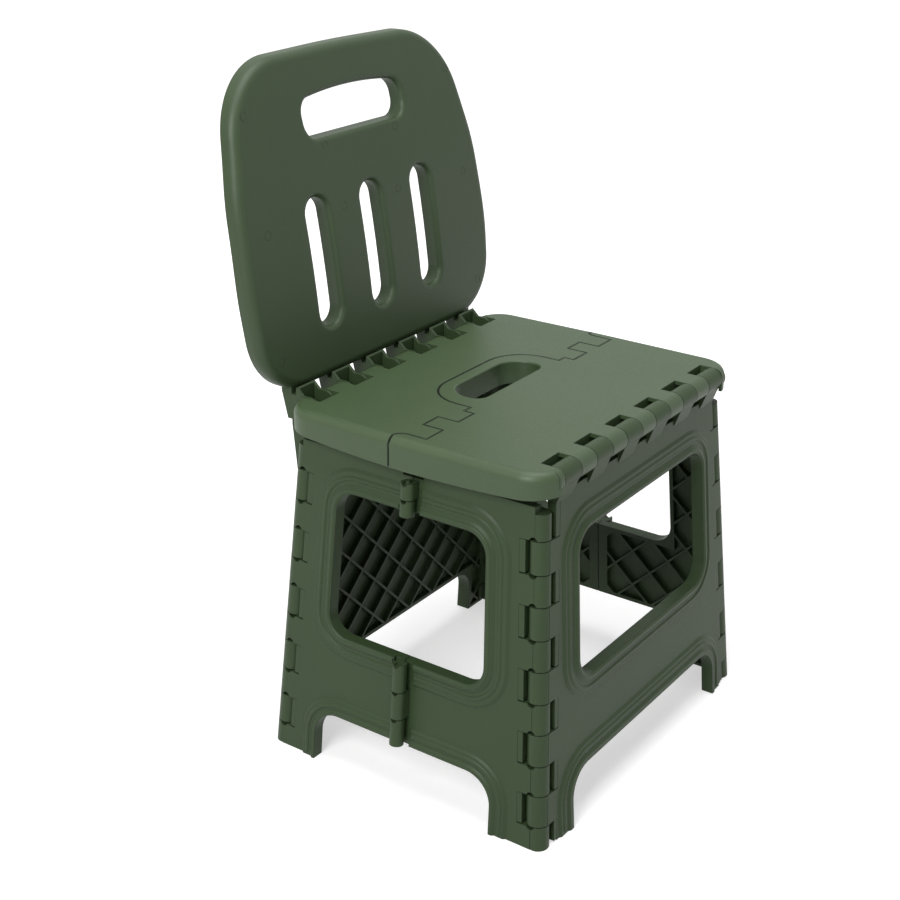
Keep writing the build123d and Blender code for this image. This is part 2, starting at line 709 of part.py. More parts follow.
# Rear panel with its knee and the six arms that carry the backrest
rear_barrels, rear_gaps = corner_fingers(1)
rear_lattice = lattice(
    rear_face.offset(-panel_wall),
    [(x, max(z, rib_edge)) for x, z in panel_outline(rear_top - 2 * rib_edge, slot_reach + rib_edge)],
    [arch_corners(front_arch_half)],
    rib_pitch,
)
risers = arm_riser(0)
with BuildPart() as rear_panel:
    with BuildSketch(rear_face):
        Polygon(*panel_outline(rear_top, 0), align=None)
    extrude(amount=-panel_wall)
    with BuildSketch(rear_face.offset(rear_extra)):
        Polygon(*panel_outline(rear_top, 2 * slot_reach), align=None)
    extrude(amount=-rear_extra - overlap)
    rear_foot = arch(rear_face, front_arch_half, 0)
    extrude(rear_foot, amount=slot_box, both=True, mode=Mode.SUBTRACT)
    add(rear_gaps, mode=Mode.SUBTRACT)
    add(rear_barrels)
    # Knee: the panel thickens towards its top
    inner_low = at_height(base_half_depth, knee_low) - overlap
    inner_high = at_height(base_half_depth, rear_top) - overlap
    with BuildSketch(Plane.YZ.offset(-knee_half)):
        Polygon(
            (inner_low, knee_low), (inner_low + rear_extra, knee_low),
            (knee_back, rear_top - panel_wall), (knee_back, rear_top), (inner_high, rear_top), align=None,
        )
    extrude(amount=2 * knee_half)
    # Arms: a round nose on the hinge line, a channel, then an upright inside the backrest
    nose_front = hinge_half_depth - arm_nose + overlap
    riser_front = back_y + back_skin + seat_gap
    with BuildSketch(*row_planes()):
        Polygon(
            (nose_front, rear_top - overlap), (knee_back, rear_top - overlap),
            (riser_front + arm_depth, back_foot - overlap), (riser_front + arm_depth, hinge_z + arm_nose),
            (hinge_half_depth, hinge_z + arm_nose), align=None,
        )
        with Locations((hinge_half_depth, hinge_z)):
            Circle(arm_nose)
        Polygon(
            (arm_fin_start, hinge_z + arm_nose - overlap), (back_y - overlap, hinge_z + arm_nose - overlap),
            (back_y - overlap, hinge_z + arm_nose + arm_fin_rise), align=None,
        )
    extrude(amount=hinge_finger)
    with Locations(*[Plane(origin=(place, hinge_half_depth, hinge_z), z_dir=(1, 0, 0))
                     for place in hinge_places]):
        Cylinder(seat_stud_radius, hinge_finger + 2 * seat_stud_length)
    with Locations(*[(place, arm_channel_back - far / 2, arm_floor + far / 2) for place in hinge_places]):
        Box(hinge_finger - 2 * arm_wall, far, far, mode=Mode.SUBTRACT)
    add(risers)
    with Locations((0, 0, -far / 2)):
        Box(4 * far, 4 * far, far, mode=Mode.SUBTRACT)
    extrude(rear_lattice, amount=panel_wall - panel_skin, mode=Mode.SUBTRACT)
rear_panel.part.label = "rear_panel"

# Backrest: a skin with a rounded rim, open at the back, ribs between the slots
with BuildPart() as back_pockets:
    with BuildSketch(Plane.XZ.offset(-far)):
        with Locations((0, back_foot + back_height / 2)):
            Rectangle(4 * seat_half_width, 2 * back_height)
        rib_columns = [(step * slot_pitch / 2, back_foot + back_height / 2) for step in (-3, -1, 1, 3)]
        with Locations(*rib_columns):
            Rectangle(rib, 2 * back_height, mode=Mode.SUBTRACT)
        rib_rows = [(0, back_foot + height) for height in (slot_low, (slot_low + slot_high) / 2, slot_high)]
        with Locations(*rib_rows):
            Rectangle(4 * seat_half_width, rib, mode=Mode.SUBTRACT)
    extrude(amount=far, both=True)
    add(back_edge(back_skin), mode=Mode.INTERSECT)
    add(slot_cutter(back_skin), mode=Mode.SUBTRACT)
    add(backrest_slab(back_skin, 2 * back_depth), mode=Mode.INTERSECT)
with BuildPart() as backrest:
    add(backrest_slab(0, back_depth))
    add(back_edge(0), mode=Mode.INTERSECT)
    fillet(front_of(backrest).edges(), back_edge_radius)
    add(slot_cutter(0), mode=Mode.SUBTRACT)
    lips = [edge for wire in front_of(backrest).inner_wires() for edge in wire.edges()]
    fillet(lips, slot_lip)
    add(back_pockets.part, mode=Mode.SUBTRACT)
    add(arm_riser(seat_gap), mode=Mode.SUBTRACT)
backrest.part.label = "backrest"

# Seat halves
with BuildPart() as seat_rear:
    add(seat_half(False, running_gap))
seat_rear.part.label = "seat_rear"
front_half = seat_half(True, open_seat_gap)
with BuildPart() as seat_front:
    mirror(front_half, about=Plane.XZ)
    extrude(handle_shape(Plane.XY.offset(seat_height), 0), amount=-handle_depth)
    with BuildSketch(Plane.XY.offset(seat_height)) as hand_hole:
        Polygon(
            (-hand_half, hand_near), (hand_half, hand_near), (hand_half, hand_far), (-hand_half, hand_far),
            align=None,
        )
        fillet(hand_hole.vertices().sort_by(Axis.Y)[2:], hand_radius)
        fillet(hand_hole.vertices().sort_by(Axis.Y)[:2], hand_radius / 2)
    extrude(amount=-2 * handle_depth, mode=Mode.SUBTRACT)
    seat_top = seat_front.edges().filter_by(lambda edge: abs(edge.center().Z - seat_height) < fold_seam)
    hole_lip = seat_top.filter_by(
        lambda edge: abs(edge.center().X) < hand_half + fold_seam
        and hand_near - fold_seam < edge.center().Y < hand_far + fold_seam
    )
    fillet(hole_lip, hand_lip)
seat_front.part.label = "seat_front"

# Side halves: the right side mirrors the left, with play where the loop closes at its front corner
with BuildPart() as left_side_rear:
    add(side_half(-1))
left_side_rear.part.label = "left_side_rear"
with BuildPart() as left_side_front:
    add(side_half(1))
left_side_front.part.label = "left_side_front"
with BuildPart() as right_side_rear:
    mirror(left_side_rear.part, about=Plane.YZ)
right_side_rear.part.label = "right_side_rear"
with BuildPart() as right_side_front:
    mirror(left_side_front.part, about=Plane.YZ)
    with Locations(hinge_frame(corner_x, -corner_y)):
        with Locations(*[(0, 0, start + finger_length / 2) for start in fingers]):
            Cylinder(
                stud_radius + open_corner_gap,
                finger_length + 2 * (stud_length + socket_end + finger_gap), mode=Mode.SUBTRACT,
            )
right_side_front.part.label = "right_side_front"

os.makedirs("parts", exist_ok=True)
export_step(rear_panel.part, "parts/rear_panel.step")
export_step(backrest.part, "parts/backrest.step")
export_step(seat_rear.part, "parts/seat_rear.step")
export_step(seat_front.part, "parts/seat_front.step")
export_step(front_panel.part, "parts/front_panel.step")
export_step(left_side_rear.part, "parts/left_side_rear.step")
export_step(left_side_front.part, "parts/left_side_front.step")
export_step(right_side_rear.part, "parts/right_side_rear.step")
export_step(right_side_front.part, "parts/right_side_front.step")
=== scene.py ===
# %% [markdown]
# # A folding step stool with a backrest, in olive polypropylene
# The stool is nine plastic mouldings that snap into each other. Their shapes, places and hinges come
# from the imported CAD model, which is loaded here as a fixed frame. This lesson adds what CAD doesn't
# hold: the plastic itself, the fine marks and mouldings on it, the studio and the camera.

# %% Load the frame
import math

import bpy
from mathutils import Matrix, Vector


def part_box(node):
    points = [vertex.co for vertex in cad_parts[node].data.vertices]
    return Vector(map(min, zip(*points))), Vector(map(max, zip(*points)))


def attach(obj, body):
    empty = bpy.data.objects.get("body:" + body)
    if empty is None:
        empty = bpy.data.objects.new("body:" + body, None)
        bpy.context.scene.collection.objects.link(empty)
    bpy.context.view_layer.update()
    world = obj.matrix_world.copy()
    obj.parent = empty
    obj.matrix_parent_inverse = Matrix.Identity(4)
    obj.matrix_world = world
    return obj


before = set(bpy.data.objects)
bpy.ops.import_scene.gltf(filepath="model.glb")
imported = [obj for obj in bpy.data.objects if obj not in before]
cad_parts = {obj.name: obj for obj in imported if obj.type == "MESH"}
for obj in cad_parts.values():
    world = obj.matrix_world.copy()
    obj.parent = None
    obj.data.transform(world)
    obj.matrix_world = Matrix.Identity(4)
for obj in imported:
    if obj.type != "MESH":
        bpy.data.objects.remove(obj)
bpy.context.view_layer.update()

MM = 0.001

# %% [markdown]
# ## Colours as they are written on a paint card
# Blender's shaders work in linear light, while a hex colour is written in sRGB. One function does the
# change, so that each colour below can be read and compared with a picture directly.


# %% A hex colour in linear light
def linear(hex_colour):
    """An sRGB hex value, such as "808080", as linear red, green, blue and alpha."""
    parts = [int(hex_colour[i:i + 2], 16) / 255 for i in (0, 2, 4)]
    return [p / 12.92 if p <= 0.04045 else ((p + 0.055) / 1.055) ** 2.4 for p in parts] + [1.0]


WHITE = "ffffff"
print("mid grey in linear light:", round(linear("808080")[0], 3))


# %% [markdown]
# ## One function that adds a node
# A material is a small graph. Each node is added with its settings, its fixed inputs and its links in
# one call, so that the graph can be read from top to bottom in the order in which light and texture
# flow. Three short functions use it for the nodes that come up again and again.


# %% Add a node
def node(tree, kind, settings=None, **inputs):
    """Adds a node; an input that is another node's output is linked, any other value is set.

    An input is named by its label, with _ for a space, or by its number, as in _0.
    """
    made = tree.nodes.new(kind)
    for name, value in (settings or {}).items():
        setattr(made, name, value)
    for name, value in inputs.items():
        place = int(name[1:]) if name[0] == "_" else name.replace("_", " ")
        if isinstance(value, bpy.types.NodeSocket):
            tree.links.new(value, made.inputs[place])
        else:
            made.inputs[place].default_value = value
    return made


def mixed(tree, share, first, second):
    """A colour between two colours; a Mix node has its colours at inputs 6 and 7 and output 2."""
    mix = node(tree, "ShaderNodeMix", {"data_type": "RGBA"}, _0=share, _6=first, _7=second)
    return mix.outputs[2]


def ranged(tree, value, start, end, low, high, **settings):
    """A value that goes from low to high while the input goes from start to end."""
    return node(tree, "ShaderNodeMapRange", settings, Value=value, From_Min=start, From_Max=end,
                To_Min=low, To_Max=high).outputs["Result"]


def emptied(owner):
    """Turns on the nodes of a material or a world and gives its tree, emptied."""
    owner.use_nodes = True
    owner.node_tree.nodes.clear()
    return owner.node_tree


# %% [markdown]
# ## Moulded polypropylene
# Polypropylene is a waxy, slightly soft plastic with an index of refraction of about 1.49. The steel
# mould was spark eroded, which leaves a fine even grain: it breaks reflections into a satin sheen and
# makes the top of the seat look paler where it mirrors the white room at a low angle. Edges come out of
# the mould with a small radius. The pigment isn't spread quite evenly, so large areas drift a little in
# tone. The seat, which is trodden and sat on, shows more scuffs; it is also drawn in a paler olive, a
# painted light on its top, and it is smoother than the legs, as is the backrest. The narrow edge that the
# Bevel node finds is drawn darker, a painted shade along the seams and edges.
#
# The real grain is about 0.15 mm, finer than a pixel of this picture, so it is drawn at 0.9 mm. The edge
# radius is 0.8 mm, made by the Bevel node, which looks round the edge at the faces nearby. It could be
# cut into the mesh by a bevel modifier, but the CAD mesh has thousands of tiny triangles at its fillets
# that a modifier would fold over.

# %% The olive plastic
OLIVE, OLIVE_PALE = "2d3d25", "34442a"
# The seat's paler olive is painted light: the same plastic, drawn paler where the top is lit.
SEAT_LIT_OLIVE, SEAT_LIT_PALE = "34462b", "3b4d31"
OLIVE_RUBBED = "59684e"
# A near black for painted shade: along the edges that the Bevel node finds, and in the seat's seam.
PAINTED_SHADE_DARK = "0d120a"
GRAIN_MM, DRIFT_MM, SCUFF_MM = 0.9, 70.0, 9.0
GRAIN_LOW, GRAIN_HIGH = 0.3, 0.7
GRAIN_STRENGTH, GRAIN_DEPTH_MM = 0.10, 0.12
SMOOTH, ROUGH = 0.40, 0.54
SCUFF_LOW, SCUFF_HIGH, SCUFF_SHARE = 0.56, 0.78, 0.18
EDGE_RADIUS_MM = 0.8
FLAT_FACING, EDGE_FACING, EDGE_SHADE_SHARE = 0.995, 0.88, 0.92
POLYPROPYLENE_IOR = 1.49
SHEEN_LEGS, SHEEN_BACK, SHEEN_SEAT = 0.24, 0.37, 0.43
LITTLE_USED, USED = 0.25, 1.0


def noise(tree, place, size_mm, **inputs):
    """A noise whose features are about this wide; Object coordinates are in metres."""
    scale = 1.0 / (size_mm * MM)
    return node(tree, "ShaderNodeTexNoise", Vector=place, Scale=scale, **inputs).outputs["Fac"]


def moulded_polypropylene(name, scuffed, sheen, dark=OLIVE, pale=OLIVE_PALE):
    """Satin polypropylene; scuffed, from 0 to 1, is how much it shows use, and sheen how much it mirrors."""
    material = bpy.data.materials.new(name)
    tree = emptied(material)
    place = node(tree, "ShaderNodeTexCoord").outputs["Object"]
    drift = noise(tree, place, DRIFT_MM, Detail=3.0, Roughness=0.55)
    grain = noise(tree, place, GRAIN_MM, Detail=2.0, Roughness=0.6)
    scuff = noise(tree, place, SCUFF_MM, Detail=6.0, Roughness=0.7, Distortion=1.2)
    soft_edge = node(tree, "ShaderNodeBevel", {"samples": 6}, Radius=EDGE_RADIUS_MM * MM).outputs["Normal"]
    face = node(tree, "ShaderNodeNewGeometry").outputs["Normal"]
    facing = node(tree, "ShaderNodeVectorMath", {"operation": "DOT_PRODUCT"}, _0=soft_edge, _1=face)
    # The edge mask is a painted shade: the colour turns dark along every edge and seam.
    edge_shade = ranged(tree, facing.outputs["Value"], FLAT_FACING, EDGE_FACING, 0.0, EDGE_SHADE_SHARE)
    worn = ranged(tree, scuff, SCUFF_LOW, SCUFF_HIGH, 0.0, SCUFF_SHARE * scuffed)
    tone = mixed(tree, drift, linear(dark), linear(pale))
    rubbed = mixed(tree, worn, tone, linear(OLIVE_RUBBED))
    # Painted shade: the colour is mixed toward the near black along the edges.
    colour = mixed(tree, edge_shade, rubbed, linear(PAINTED_SHADE_DARK))
    roughness = ranged(tree, grain, GRAIN_LOW, GRAIN_HIGH, SMOOTH, ROUGH)
    bumps = node(tree, "ShaderNodeBump", Strength=GRAIN_STRENGTH, Distance=GRAIN_DEPTH_MM * MM,
                 Height=grain, Normal=soft_edge)
    plastic = node(tree, "ShaderNodeBsdfPrincipled", Base_Color=colour, IOR=POLYPROPYLENE_IOR,
                   Specular_IOR_Level=sheen, Roughness=roughness, Normal=bumps.outputs["Normal"])
    node(tree, "ShaderNodeOutputMaterial", Surface=plastic.outputs["BSDF"])
    return material


frame_plastic = moulded_polypropylene("moulded_polypropylene", LITTLE_USED, SHEEN_LEGS)
back_plastic = moulded_polypropylene("moulded_polypropylene_back", LITTLE_USED, SHEEN_BACK)
seat_plastic = moulded_polypropylene("moulded_polypropylene_seat", USED, SHEEN_SEAT, SEAT_LIT_OLIVE, SEAT_LIT_PALE)
plastic_of = {"backrest": back_plastic, "seat_rear": seat_plastic, "seat_front": seat_plastic}
for name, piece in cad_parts.items():
    piece.material_slots[0].material = plastic_of.get(name, frame_plastic)
print("plastics on", len(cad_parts), "mouldings")

# %% [markdown]
# ## Helpers for Geometry Nodes
# The small features below repeat or follow a surface, so each is grown by a Geometry Nodes tree. A tree
# gets a seed, which is a mesh of a few points, and named inputs for its sizes. Instances and live
# modifiers are lost when the model is exported, so each tree ends in Realize Instances and Set Material,
# and its result is copied into a plain mesh that rides with one body.


# %% A tree and the piece that it grows
def new_tree(name, seed, sizes):
    """A tree with a seed, named inputs and a plastic; gives it, its inputs and their identifiers."""
    tree = bpy.data.node_groups.new(name, "GeometryNodeTree")
    tree.interface.new_socket("Geometry", in_out="OUTPUT", socket_type="NodeSocketGeometry")
    tree.interface.new_socket(seed, in_out="INPUT", socket_type="NodeSocketGeometry")
    kinds = dict(sizes, Plastic="NodeSocketMaterial")
    sockets = {label: tree.interface.new_socket(label, in_out="INPUT", socket_type=kind).identifier
               for label, kind in kinds.items()}
    return tree, tree.nodes.new("NodeGroupInput").outputs, sockets


def end_tree(tree, geometry, plastic):
    """Realizes the instances, sets the material and closes the tree."""
    whole = node(tree, "GeometryNodeRealizeInstances", Geometry=geometry)
    coated = node(tree, "GeometryNodeSetMaterial", Geometry=whole.outputs["Geometry"], Material=plastic)
    node(tree, "NodeGroupOutput", Geometry=coated.outputs["Geometry"])


def placed(name, data):
    """A new object in the scene, at the origin."""
    made = bpy.data.objects.new(name, data)
    bpy.context.scene.collection.objects.link(made)
    return made


def grown(name, body, tree, sockets, seed, values):
    """Sets the tree's inputs on a seed, copies the result to a plain mesh and lets it ride on a body."""
    piece = placed(name, seed)
    maker = piece.modifiers.new("maker", "NODES")
    maker.node_group = tree
    for label, value in values.items():
        maker[sockets[label]] = value
    mesh = bpy.data.meshes.new_from_object(piece.evaluated_get(bpy.context.evaluated_depsgraph_get()))
    piece.modifiers.remove(maker)
    mesh.name = name
    piece.data = mesh
    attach(piece, body)
    print(name, "rides on", body, "with", len(mesh.polygons), "faces")


def seed_mesh(points_mm, edges=()):
    """A mesh of bare points, given in millimetres, and the edges between them."""
    mesh = bpy.data.meshes.new("seed")
    mesh.from_pydata([Vector(point) * MM for point in points_mm], list(edges), [])
    return mesh


# %% [markdown]
# ## Witness marks on the backrest
# Ejector pins push a moulding out of the steel, and each leaves a faint ring where it pressed. The
# photograph shows a few of them on the front of the backrest: at its corners, under the grip and between
# the slots. The seed has one point for each pin on the right half. The tree mirrors the points, shoots
# them against the backrest along +Y, and sets a thin ring on each point that hits, turned to the surface
# there. A texture could draw them too, but then the mesh would lack them.

# %% Rings from pins
PIN_PLACES_MM = [(136.0, 548.0), (48.0, 511.0), (136.0, 455.0), (38.0, 459.0), (142.0, 352.0)]
RING_RADIUS_MM, RING_WIRE_MM = 3.6, 0.15
RING_SIDES, WIRE_SIDES = 20, 6
BEFORE_BACK_MM = 50.0
RAY_M = 1.0
ring_tree, given, ring_sockets = new_tree("witness_marks", "Pins", {
    "Backrest": "NodeSocketObject", "Ring Radius": "NodeSocketFloat", "Wire Radius": "NodeSocketFloat"})
other_half = node(ring_tree, "GeometryNodeTransform", Geometry=given["Pins"], Scale=(-1.0, 1.0, 1.0))
pins = node(ring_tree, "GeometryNodeJoinGeometry", Geometry=given["Pins"])
ring_tree.links.new(other_half.outputs["Geometry"], pins.inputs["Geometry"])
back_mesh = node(ring_tree, "GeometryNodeObjectInfo", Object=given["Backrest"])
hit = node(ring_tree, "GeometryNodeRaycast", Target_Geometry=back_mesh.outputs["Geometry"],
           Ray_Direction=(0.0, 1.0, 0.0), Ray_Length=RAY_M)
turned = node(ring_tree, "FunctionNodeAlignRotationToVector", {"axis": "Z"}, Vector=hit.outputs["Hit Normal"])
held = node(ring_tree, "GeometryNodeCaptureAttribute", Geometry=pins.outputs["Geometry"])
held.capture_items.new("ROTATION", "Turn")
held.capture_items.new("VECTOR", "Place")
ring_tree.links.new(turned.outputs["Rotation"], held.inputs["Turn"])
ring_tree.links.new(hit.outputs["Hit Position"], held.inputs["Place"])
seated = node(ring_tree, "GeometryNodeSetPosition", Geometry=held.outputs["Geometry"],
              Position=held.outputs["Place"])
ring_line = node(ring_tree, "GeometryNodeCurvePrimitiveCircle", Resolution=RING_SIDES,
                 Radius=given["Ring Radius"])
wire = node(ring_tree, "GeometryNodeCurvePrimitiveCircle", Resolution=WIRE_SIDES, Radius=given["Wire Radius"])
ring = node(ring_tree, "GeometryNodeCurveToMesh", Curve=ring_line.outputs["Curve"],
            Profile_Curve=wire.outputs["Curve"])
rings = node(ring_tree, "GeometryNodeInstanceOnPoints", Points=seated.outputs["Geometry"],
             Instance=ring.outputs["Mesh"], Rotation=held.outputs["Turn"])
end_tree(ring_tree, rings.outputs["Instances"], given["Plastic"])

rubbed_plastic = moulded_polypropylene(
    "moulded_polypropylene_rubbed", LITTLE_USED, SHEEN_BACK, OLIVE_PALE, OLIVE_RUBBED)
before_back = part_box("backrest")[0].y / MM - BEFORE_BACK_MM
pin_seed = seed_mesh([(x, before_back, z) for x, z in PIN_PLACES_MM])
grown("witness_marks", "rear_frame", ring_tree, ring_sockets, pin_seed, {
    "Backrest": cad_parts["backrest"], "Ring Radius": RING_RADIUS_MM * MM,
    "Wire Radius": RING_WIRE_MM * MM, "Plastic": rubbed_plastic})

# %% [markdown]
# ## Where the panels lie
# Each leg panel is a flat plate that leans towards one apex above the stool. A point on a panel is
# written as a distance to the side and a distance up the slope, and one function takes it into space,
# on the face or in front of it.

# %% Points on a leaning panel
APEX_MM = 2000.0
HALF_WIDTH_MM, HALF_DEPTH_MM = 170.5, 142.5
side_lean = math.atan2(HALF_WIDTH_MM, APEX_MM)
front_lean = math.atan2(HALF_DEPTH_MM, APEX_MM)
OUT_LEFT = Vector((-math.cos(side_lean), 0.0, math.sin(side_lean)))
OUT_RIGHT = Vector((math.cos(side_lean), 0.0, math.sin(side_lean)))
OUT_FRONT = Vector((0.0, -math.cos(front_lean), math.sin(front_lean)))
OUT_REAR = Vector((0.0, math.cos(front_lean), math.sin(front_lean)))


def on_panel(out, along, up, lift=0.0):
    """A point on the panel that faces out: along its foot, up its slope, and lifted off its face."""
    flat = Vector((out.x, out.y, 0.0)).normalized()
    foot = flat * (HALF_WIDTH_MM if abs(flat.x) > abs(flat.y) else HALF_DEPTH_MM)
    across = Vector((abs(flat.y), -abs(flat.x), 0.0))
    slope = Vector((-flat.x * out.z, -flat.y * out.z, math.hypot(out.x, out.y)))
    return foot + across * along + slope * up + out * lift


print("panels lean by", [round(math.degrees(lean), 2) for lean in (side_lean, front_lean)], "degrees")

# %% [markdown]
# ## Beads round the windows and arches
# Thin plastic panels are stiffened by ridges round their openings, and on this stool they are round in
# section, so that each one shows a line of light and a line of shade. The CAD model has the steps that
# they stand on. A bead is a path on the panel with a round profile drawn along it: the seed is the path,
# held in front of the panel, and the tree drops it on the surface, sinks it a little and sweeps a circle
# along it.

# %% The bead tree
BEAD_RADIUS_MM, BEAD_SUNK_MM = 2.6, 1.5
BEAD_SIDES = 16
SEED_LIFT_MM = 25.0
bead_tree, given, bead_sockets = new_tree("moulding_beads", "Path", {
    "Panel": "NodeSocketObject", "Outward": "NodeSocketVector", "Radius": "NodeSocketFloat",
    "Sunk": "NodeSocketFloat"})
panel_mesh = node(bead_tree, "GeometryNodeObjectInfo", Object=given["Panel"])
inward = node(bead_tree, "ShaderNodeVectorMath", {"operation": "SCALE"}, _0=given["Outward"], Scale=-1.0)
drop = node(bead_tree, "GeometryNodeRaycast", Target_Geometry=panel_mesh.outputs["Geometry"],
            Ray_Direction=inward.outputs["Vector"], Ray_Length=RAY_M)
deeper = node(bead_tree, "ShaderNodeVectorMath", {"operation": "SCALE"}, _0=inward.outputs["Vector"],
              Scale=given["Sunk"])
bed = node(bead_tree, "ShaderNodeVectorMath", {"operation": "ADD"}, _0=drop.outputs["Hit Position"],
           _1=deeper.outputs["Vector"])
laid = node(bead_tree, "GeometryNodeSetPosition", Geometry=given["Path"], Selection=drop.outputs["Is Hit"],
            Position=bed.outputs["Vector"])
line = node(bead_tree, "GeometryNodeMeshToCurve", Mesh=laid.outputs["Geometry"])
profile = node(bead_tree, "GeometryNodeCurvePrimitiveCircle", Resolution=BEAD_SIDES, Radius=given["Radius"])
bar = node(bead_tree, "GeometryNodeCurveToMesh", Curve=line.outputs["Curve"],
           Profile_Curve=profile.outputs["Curve"], Fill_Caps=True)
smooth = node(bead_tree, "GeometryNodeSetShadeSmooth", Geometry=bar.outputs["Mesh"])
end_tree(bead_tree, smooth.outputs["Geometry"], given["Plastic"])
print("bead tree nodes:", len(bead_tree.nodes))

# %% [markdown]
# ## The paths
# A window is wider at its foot than at its head, and its corners are rounded; an arch runs down to the
# floor. Both are grown outwards by a distance from the edge, corner radius and all. A side folds in its
# middle, so each half gets half a path, which stops short of the middle hinge.

# %% Rounded paths
CORNER_STEPS = 8
ARCH_SPLAY_MM = 1.0


def rounded(corners, radius, closed):
    """A path through the corners, with an arc of the radius at each corner that isn't an open end."""
    points = []
    count = len(corners)
    for i, corner in enumerate(corners):
        corner = Vector(corner)
        if not closed and i in (0, count - 1):
            points.append(corner)
            continue
        before = (Vector(corners[i - 1]) - corner).normalized()
        after = (Vector(corners[(i + 1) % count]) - corner).normalized()
        half_angle = before.angle(after) / 2
        centre = corner + (before + after).normalized() * (radius / math.sin(half_angle))
        first = corner + before * (radius / math.tan(half_angle)) - centre
        last = corner + after * (radius / math.tan(half_angle)) - centre
        turn = first.angle(last)
        for k in range(CORNER_STEPS + 1):
            share = k / CORNER_STEPS
            part = first * math.sin((1 - share) * turn) + last * math.sin(share * turn)
            points.append(centre + part / math.sin(turn))
    return points


def window_path(half_low, half_high, low, high, radius, grow, stop=None):
    """Round a window, at a distance from its edge; with a stop, only the half on one side."""
    slope = (half_low - half_high) / (high - low)
    wide = half_low + grow + slope * grow
    narrow = half_high + grow - slope * grow
    right = [(wide, low - grow), (narrow, high + grow)]
    if stop is None:
        return rounded(right + [(-x, z) for x, z in reversed(right)], radius + grow, True)
    return rounded([(stop, low - grow)] + right + [(stop, high + grow)], radius + grow, False)


def arch_path(half, height, radius, grow, foot, stop=None):
    """Over an arch, at a distance from its edge, down to just above the floor."""
    right = [(half + grow, height + grow), (half + grow + ARCH_SPLAY_MM, foot)]
    start = [(-x, z) for x, z in reversed(right)] if stop is None else [(stop, height + grow)]
    return rounded(start + right, radius + grow, False)


# %% [markdown]
# ## Beads on every panel
# The side windows and arches share one set of sizes and the front panel has its own. All beads of a body
# are one mesh.

# %% Lay the beads
SIDE_WINDOW = {"half_low": 79.5, "half_high": 73.5, "low": 127.0, "high": 258.0, "radius": 19.0}
FRONT_WINDOW = {"half_low": 108.0, "half_high": 102.8, "low": 128.0, "high": 256.0, "radius": 20.0}
ARCH = {"height": 50.0, "radius": 25.0, "foot": 3.2}
SIDE_ARCH_HALF_MM, FRONT_ARCH_HALF_MM = 91.5, 124.0
WINDOW_BEADS_MM = (3.0, 13.2)
SIDE_ARCH_BEAD_MM, FRONT_ARCH_BEAD_MM = 9.2, 11.4
MIDDLE_STOP_MM = 10.4


def lay_beads(name, body, out, paths, flip=1.0):
    """One mesh of beads on a panel: paths of (along, up) points, each with True if it is closed."""
    points, edges = [], []
    for path, closed in paths:
        first = len(points)
        points += [on_panel(out, flip * along, up, SEED_LIFT_MM) for along, up in path]
        edges += [(i, i + 1) for i in range(first, len(points) - 1)]
        if closed:
            edges.append((len(points) - 1, first))
    grown(name, body, bead_tree, bead_sockets, seed_mesh(points, edges), {
        "Panel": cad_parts[body], "Outward": out, "Radius": BEAD_RADIUS_MM * MM,
        "Sunk": BEAD_SUNK_MM * MM, "Plastic": frame_plastic})


front_arch = arch_path(half=FRONT_ARCH_HALF_MM, grow=FRONT_ARCH_BEAD_MM, **ARCH)
front_paths = [(window_path(grow=grow, **FRONT_WINDOW), True) for grow in WINDOW_BEADS_MM]
lay_beads("front_panel_beads", "front_panel", OUT_FRONT, front_paths + [(front_arch, False)])
half_arch = arch_path(half=SIDE_ARCH_HALF_MM, grow=SIDE_ARCH_BEAD_MM, stop=MIDDLE_STOP_MM, **ARCH)
half_paths = [(window_path(grow=grow, stop=MIDDLE_STOP_MM, **SIDE_WINDOW), False)
              for grow in WINDOW_BEADS_MM]
half_paths.append((half_arch, False))
for side, out in (("left", OUT_LEFT), ("right", OUT_RIGHT)):
    for end, flip in (("front", 1.0), ("rear", -1.0)):
        half = side + "_side_" + end
        lay_beads(half + "_beads", half, out, half_paths, flip)

# %% [markdown]
# ## The seam across the seat
# The halves of the seat meet in a seam that lies in shade: round the handle, in and out between the fold
# fingers, and down the skirt. The gap there is about half a millimetre, finer than a pixel of this
# picture, so a dark hairline is laid along the edge of the front half as a painted shade for the gap. It
# is a path again, so the bead tree lays it, thinner and sunk deeper. The path is written for the right
# half, from the middle outwards, and then mirrored.

# %% The path of the seam
SEAT_TOP_MM, SEAT_HALF_MM, RIM_MM, SKIRT_FOOT_MM = 320.0, 157.0, 8.0, 295.5
HANDLE_HALF_MM, HANDLE_REACH_MM, HANDLE_RADIUS_MM = 68.5, 50.0, 36.0
FOLD_START_MM, FOLD_FINGER_MM, FOLD_REACH_MM, FOLD_GAP_MM = 78.0, 21.3, 9.5, 0.6
LOBE_REACH_MM, LOBE_RADIUS_MM = 17.0, 9.0
SEAM_INSET_MM = 0.8
RIM_STEPS_MM = (0.0, 2.0, 4.0, 5.5, 6.5)
edge_y = -FOLD_GAP_MM - SEAM_INSET_MM
room_y, finger_y = edge_y - FOLD_REACH_MM, FOLD_REACH_MM - SEAM_INSET_MM
handle_x, handle_y = HANDLE_HALF_MM - SEAM_INSET_MM, HANDLE_REACH_MM - SEAM_INSET_MM
finger_1, finger_2, finger_3 = [FOLD_START_MM + i * FOLD_FINGER_MM for i in range(3)]
lobe_x = finger_3 + FOLD_FINGER_MM + FOLD_GAP_MM + SEAM_INSET_MM
lobe_y = LOBE_REACH_MM - SEAM_INSET_MM
rim_x = SEAT_HALF_MM - RIM_MM
round_handle = [(0.0, handle_y), (handle_x, handle_y), (handle_x, edge_y)]
round_lobe = [(lobe_x, room_y), (lobe_x, lobe_y), (SEAT_HALF_MM, lobe_y)]
seam = rounded(round_handle, HANDLE_RADIUS_MM - SEAM_INSET_MM, False)
